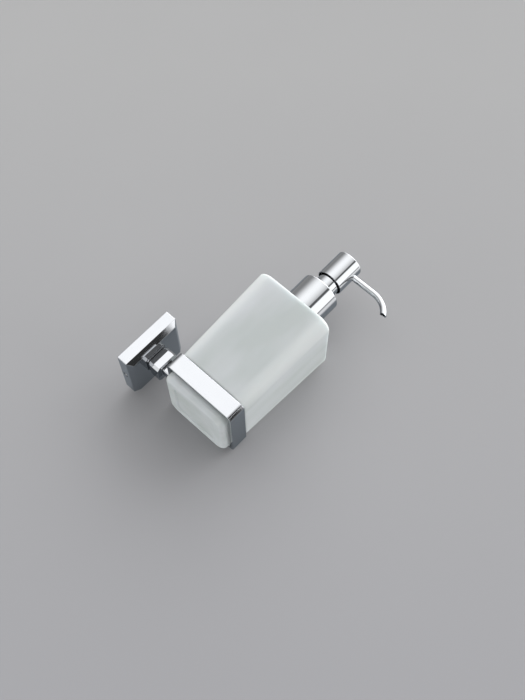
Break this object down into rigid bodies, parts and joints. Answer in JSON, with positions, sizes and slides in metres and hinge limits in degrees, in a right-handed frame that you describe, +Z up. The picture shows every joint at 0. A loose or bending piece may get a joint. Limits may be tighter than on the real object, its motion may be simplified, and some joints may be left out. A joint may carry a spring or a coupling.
{
  "type": "wall mounted soap dispenser",
  "caption": "Square wall holder in polished chrome with a frosted glass bottle and a push-down soap pump with a thin bent spout.",
  "frame": {"origin": "centre of the wall bracket's back, which is the centre of the square rose's back, in the wall plane", "axes": "+Z up along the bottle and the pump's axis, +Y into the wall, so that the dispenser stands out along -Y, +X to the right of someone facing the wall"},
  "size_m": [0.0678, 0.115, 0.1838],
  "materials": {
    "polished_chrome": "polished, mirror bright",
    "plated_steel": "zinc plated, satin",
    "stainless_steel": "plain stainless",
    "frosted_glass": "acid etched outside, translucent",
    "white_plastic": "moulded, satin",
    "natural_plastic": "natural, milky",
    "grey_silicone": "soft, matte"
  },
  "bodies": {
    "holder": {"wall_bracket": "plated_steel", "rose_cover": "polished_chrome", "rose_grub_screw": "stainless_steel", "neck_post": "polished_chrome", "ring_holder": "polished_chrome", "tie_bolt": "stainless_steel", "tie_bolt_washer": "plated_steel"},
    "bottle": {"glass_bottle": "frosted_glass"},
    "pump": {"bottle_gasket": "grey_silicone", "pump_cylinder": "white_plastic", "cylinder_cap": "white_plastic", "dip_tube": "natural_plastic", "return_spring": "stainless_steel"},
    "collar": {"collar_shell": "polished_chrome", "collar_insert": "white_plastic", "guide_sleeve": "polished_chrome"},
    "plunger": {"piston_rod": "white_plastic", "piston_seal": "natural_plastic"},
    "head": {"head_core": "white_plastic", "head_shell": "polished_chrome", "spout_tube": "polished_chrome"},
    "lower_valve": {"inlet_ball": "stainless_steel"},
    "upper_valve": {"outlet_ball": "stainless_steel"}
  },
  "joints": [
    {"name": "pump_press", "type": "slide", "parent": "pump", "child": "plunger", "axis": [0, 0, -1], "range_m": [0, 0.009], "stiffness_N_per_m": 300, "springref_m": -0.01, "deforming": ["return_spring"]},
    {"name": "head_swivel", "type": "hinge", "parent": "plunger", "child": "head", "pos_m": [0, -0.0639, 0.14], "axis": [0, 0, 1], "continuous": true},
    {"name": "bottle_lift", "type": "slide", "parent": "holder", "child": "bottle", "axis": [0, 0, 1], "range_m": [0, 0.045]},
    {"name": "pump_lift", "type": "slide", "parent": "bottle", "child": "pump", "axis": [0, 0, 1], "range_m": [0, 0.125]},
    {"name": "collar_turn", "type": "hinge", "parent": "pump", "child": "collar", "pos_m": [0, -0.0639, 0.11], "axis": [0, 0, 1], "range_deg": [0, 540]},
    {"name": "inlet_ball_lift", "type": "slide", "parent": "pump", "child": "lower_valve", "axis": [0, 0, 1], "range_m": [0, 0.002]},
    {"name": "outlet_ball_lift", "type": "slide", "parent": "plunger", "child": "upper_valve", "axis": [0, 0, 1], "range_m": [0, 0.0015]}
  ]
}
